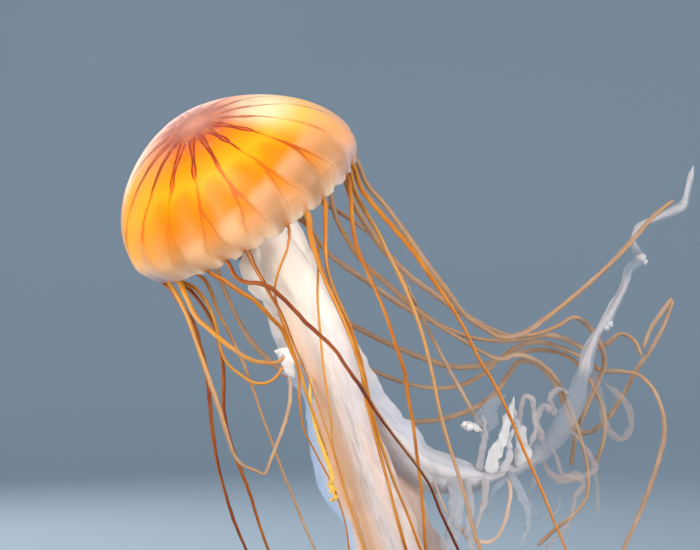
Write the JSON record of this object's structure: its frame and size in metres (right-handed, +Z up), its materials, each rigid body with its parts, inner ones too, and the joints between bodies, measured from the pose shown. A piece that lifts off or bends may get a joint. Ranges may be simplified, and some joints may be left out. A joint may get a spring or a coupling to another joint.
{
  "type": "sea nettle jellyfish",
  "caption": "Life-size sea nettle jellyfish on a display stand: leaning striped bell, frilled oral arms and long trailing tentacles.",
  "frame": {"origin": "centre of the stand base's underside", "axes": "+Z up, -Y towards the viewer of the bell's front, +X towards the trailing arms and tentacles"},
  "size_m": [0.4536, 0.289, 0.5418],
  "materials": {
    "bell_jelly": "gloss",
    "arm_flesh": "satin",
    "tentacle_flesh": "satin",
    "base_plate": "satin",
    "rod_steel": "satin"
  },
  "bodies": {
    "root": {"arm_back_a": "arm_flesh", "arm_back_b": "arm_flesh", "arm_front_a": "arm_flesh", "arm_front_b": "arm_flesh", "arm_left_a": "arm_flesh", "arm_left_b": "arm_flesh", "arm_right_a": "arm_flesh", "arm_right_b": "arm_flesh", "arm_right_c": "arm_flesh", "bell_dome": "bell_jelly", "bell_margin": "bell_jelly", "frill_down": "arm_flesh", "frill_end": "arm_flesh", "frill_mid": "arm_flesh", "frill_up": "arm_flesh", "manubrium": "arm_flesh", "stand_base": "base_plate", "stand_rod": "rod_steel", "tentacle_back_1": "tentacle_flesh", "tentacle_back_2_a": "tentacle_flesh", "tentacle_back_2_b": "tentacle_flesh", "tentacle_back_3": "tentacle_flesh", "tentacle_back_4_a": "tentacle_flesh", "tentacle_back_4_b": "tentacle_flesh", "tentacle_back_5_a": "tentacle_flesh", "tentacle_back_5_b": "tentacle_flesh", "tentacle_back_6_a": "tentacle_flesh", "tentacle_back_6_b": "tentacle_flesh", "tentacle_far_left_1_a": "tentacle_flesh", "tentacle_far_left_1_b": "tentacle_flesh", "tentacle_far_left_2_a": "tentacle_flesh", "tentacle_far_left_2_b": "tentacle_flesh", "tentacle_far_left_3": "tentacle_flesh", "tentacle_far_right_1_a": "tentacle_flesh", "tentacle_far_right_1_b": "tentacle_flesh", "tentacle_far_right_2_a": "tentacle_flesh", "tentacle_far_right_2_b": "tentacle_flesh", "tentacle_far_right_3_a": "tentacle_flesh", "tentacle_far_right_3_b": "tentacle_flesh", "tentacle_front_1": "tentacle_flesh", "tentacle_front_2_a": "tentacle_flesh", "tentacle_front_2_b": "tentacle_flesh", "tentacle_front_3_a": "tentacle_flesh", "tentacle_front_3_b": "tentacle_flesh", "tentacle_front_left_1": "tentacle_flesh", "tentacle_front_left_2_a": "tentacle_flesh", "tentacle_front_left_2_b": "tentacle_flesh", "tentacle_front_left_3_a": "tentacle_flesh", "tentacle_front_left_3_b": "tentacle_flesh", "tentacle_left_1_a": "tentacle_flesh", "tentacle_left_1_b": "tentacle_flesh", "tentacle_left_2_a": "tentacle_flesh", "tentacle_left_2_b": "tentacle_flesh", "tentacle_left_3": "tentacle_flesh", "tentacle_right_1_a": "tentacle_flesh", "tentacle_right_1_b": "tentacle_flesh", "tentacle_right_2_a": "tentacle_flesh", "tentacle_right_2_b": "tentacle_flesh", "tentacle_right_3_a": "tentacle_flesh", "tentacle_right_3_b": "tentacle_flesh"}
  },
  "joints": []
}
